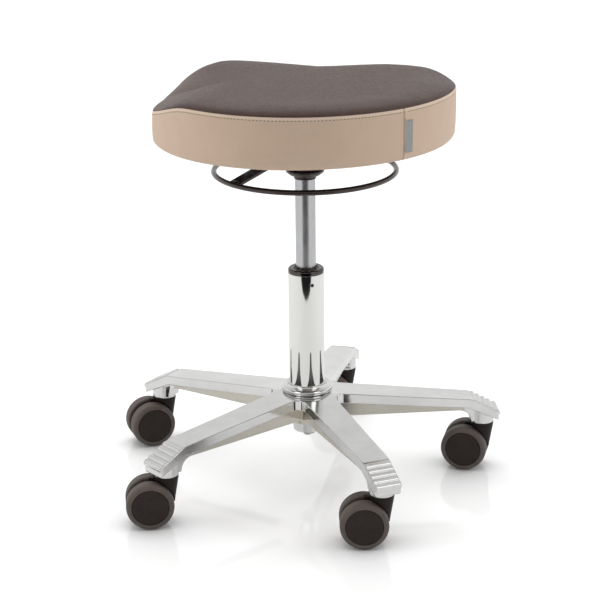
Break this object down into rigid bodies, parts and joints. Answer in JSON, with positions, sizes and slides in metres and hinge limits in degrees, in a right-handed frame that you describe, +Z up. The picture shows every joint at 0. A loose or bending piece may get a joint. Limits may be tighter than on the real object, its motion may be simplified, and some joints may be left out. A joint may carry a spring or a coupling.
{
  "type": "work stool",
  "caption": "Height-adjustable rolling work stool: star base on twin-wheel casters, gas-lift column, ring-shaped height release and a two-tone padded seat.",
  "frame": {"origin": "on the floor, under the axis of the column", "axes": "+Z up along the column, one base arm along +X, the front (nose) of the seat towards -Y"},
  "size_m": [0.5409, 0.5458, 0.5762],
  "materials": {
    "cast_aluminium": "polished",
    "column_chrome": "polished",
    "black_chrome": "gloss",
    "acetal": "satin",
    "bright_steel": "satin",
    "tube_steel": "satin",
    "black_powder": "satin",
    "black_gloss": "gloss",
    "rubber": "matte",
    "plywood": "matte",
    "foam": "matte",
    "dark_leatherette": "satin",
    "beige_leatherette": "satin",
    "liner_cloth": "matte",
    "label_cloth": "satin",
    "hood_plastic": "satin",
    "disc_plastic": "matte",
    "grey_tyre": "matte"
  },
  "bodies": {
    "base": {"base_casting": "cast_aluminium", "column_tube": "column_chrome", "column_collar": "black_chrome", "guide_bush": "acetal", "bush_screw": "black_powder", "lower_bearing_race": "bright_steel"},
    "spindle": {"piston_rod": "bright_steel", "piston": "bright_steel", "rod_clip": "bright_steel", "bearing_balls": "bright_steel", "upper_bearing_race": "bright_steel", "bump_stop": "rubber"},
    "seat": {"pressure_tube": "tube_steel", "rod_guide": "rubber", "taper_socket": "black_powder", "lever_bracket": "black_powder", "lever_pin": "bright_steel", "seat_plate": "black_powder", "plate_bolts": "bright_steel", "tee_nuts": "bright_steel", "seat_pan": "plywood", "seat_foam": "foam", "seat_top_cover": "dark_leatherette", "seat_side_cover": "beige_leatherette", "bottom_liner": "liner_cloth", "seat_label": "label_cloth"},
    "valve": {"valve_pin": "bright_steel"},
    "release": {"release_ring": "black_gloss", "ring_lever": "black_gloss"},
    "caster_1": {"caster_1_hood": "hood_plastic", "caster_1_pins": "bright_steel"},
    "caster_1_left_wheel": {"caster_1_left_core": "disc_plastic", "caster_1_left_tyre": "grey_tyre"},
    "caster_1_right_wheel": {"caster_1_right_core": "disc_plastic", "caster_1_right_tyre": "grey_tyre"},
    "caster_2": {"caster_2_hood": "hood_plastic", "caster_2_pins": "bright_steel"},
    "caster_2_left_wheel": {"caster_2_left_core": "disc_plastic", "caster_2_left_tyre": "grey_tyre"},
    "caster_2_right_wheel": {"caster_2_right_core": "disc_plastic", "caster_2_right_tyre": "grey_tyre"},
    "caster_3": {"caster_3_hood": "hood_plastic", "caster_3_pins": "bright_steel"},
    "caster_3_left_wheel": {"caster_3_left_core": "disc_plastic", "caster_3_left_tyre": "grey_tyre"},
    "caster_3_right_wheel": {"caster_3_right_core": "disc_plastic", "caster_3_right_tyre": "grey_tyre"},
    "caster_4": {"caster_4_hood": "hood_plastic", "caster_4_pins": "bright_steel"},
    "caster_4_left_wheel": {"caster_4_left_core": "disc_plastic", "caster_4_left_tyre": "grey_tyre"},
    "caster_4_right_wheel": {"caster_4_right_core": "disc_plastic", "caster_4_right_tyre": "grey_tyre"},
    "caster_5": {"caster_5_hood": "hood_plastic", "caster_5_pins": "bright_steel"},
    "caster_5_left_wheel": {"caster_5_left_core": "disc_plastic", "caster_5_left_tyre": "grey_tyre"},
    "caster_5_right_wheel": {"caster_5_right_core": "disc_plastic", "caster_5_right_tyre": "grey_tyre"}
  },
  "joints": [
    {"name": "seat_swivel", "type": "hinge", "parent": "base", "child": "spindle", "pos_m": [0, 0, 0.0796], "axis": [0, 0, 1], "continuous": true},
    {"name": "seat_height", "type": "slide", "parent": "spindle", "child": "seat", "axis": [0, 0, 1], "range_m": [-0.12, 0]},
    {"name": "ring_tilt", "type": "hinge", "parent": "seat", "child": "release", "pos_m": [0.03, 0, 0.4748], "axis": [0, -1, 0], "range_deg": [0, 5.5], "stiffness_Nm_per_rad": 5, "springref_deg": -34.38},
    {"name": "valve_press", "type": "slide", "parent": "seat", "child": "valve", "axis": [0, 0, 1], "range_m": [-0.0034, 0]},
    {"name": "caster_1_swivel", "type": "hinge", "parent": "base", "child": "caster_1", "pos_m": [0.251, 0, 0.071], "axis": [0, 0, 1], "continuous": true},
    {"name": "caster_1_left_roll", "type": "hinge", "parent": "caster_1", "child": "caster_1_left_wheel", "pos_m": [0.27007, -0.01286, 0.0325], "axis": [0.5592, 0.829, 0], "continuous": true},
    {"name": "caster_1_right_roll", "type": "hinge", "parent": "caster_1", "child": "caster_1_right_wheel", "pos_m": [0.27007, -0.01286, 0.0325], "axis": [0.5592, 0.829, 0], "continuous": true},
    {"name": "caster_2_swivel", "type": "hinge", "parent": "base", "child": "caster_2", "pos_m": [0.07756, 0.23872, 0.071], "axis": [0, 0, 1], "continuous": true},
    {"name": "caster_2_left_roll", "type": "hinge", "parent": "caster_2", "child": "caster_2_left_wheel", "pos_m": [0.09518, 0.22393, 0.0325], "axis": [0.6428, 0.766, 0], "continuous": true},
    {"name": "caster_2_right_roll", "type": "hinge", "parent": "caster_2", "child": "caster_2_right_wheel", "pos_m": [0.09518, 0.22393, 0.0325], "axis": [0.6428, 0.766, 0], "continuous": true},
    {"name": "caster_3_swivel", "type": "hinge", "parent": "base", "child": "caster_3", "pos_m": [-0.20306, 0.14753, 0.071], "axis": [0, 0, 1], "continuous": true},
    {"name": "caster_3_left_roll", "type": "hinge", "parent": "caster_3", "child": "caster_3_left_wheel", "pos_m": [-0.18954, 0.12893, 0.0325], "axis": [0.809, 0.5878, 0], "continuous": true},
    {"name": "caster_3_right_roll", "type": "hinge", "parent": "caster_3", "child": "caster_3_right_wheel", "pos_m": [-0.18954, 0.12893, 0.0325], "axis": [0.809, 0.5878, 0], "continuous": true},
    {"name": "caster_4_swivel", "type": "hinge", "parent": "base", "child": "caster_4", "pos_m": [-0.20306, -0.14753, 0.071], "axis": [0, 0, 1], "continuous": true},
    {"name": "caster_4_left_roll", "type": "hinge", "parent": "caster_4", "child": "caster_4_left_wheel", "pos_m": [-0.18544, -0.16232, 0.0325], "axis": [0.6428, 0.766, 0], "continuous": true},
    {"name": "caster_4_right_roll", "type": "hinge", "parent": "caster_4", "child": "caster_4_right_wheel", "pos_m": [-0.18544, -0.16232, 0.0325], "axis": [0.6428, 0.766, 0], "continuous": true},
    {"name": "caster_5_swivel", "type": "hinge", "parent": "base", "child": "caster_5", "pos_m": [0.07756, -0.23872, 0.071], "axis": [0, 0, 1], "continuous": true},
    {"name": "caster_5_left_roll", "type": "hinge", "parent": "caster_5", "child": "caster_5_left_wheel", "pos_m": [0.09918, -0.24658, 0.0325], "axis": [0.342, 0.9397, 0], "continuous": true},
    {"name": "caster_5_right_roll", "type": "hinge", "parent": "caster_5", "child": "caster_5_right_wheel", "pos_m": [0.09918, -0.24658, 0.0325], "axis": [0.342, 0.9397, 0], "continuous": true}
  ],
  "couplings": [
    {"joint": "valve_press", "follows": "ring_tilt", "m_per_rad": -0.034}
  ]
}
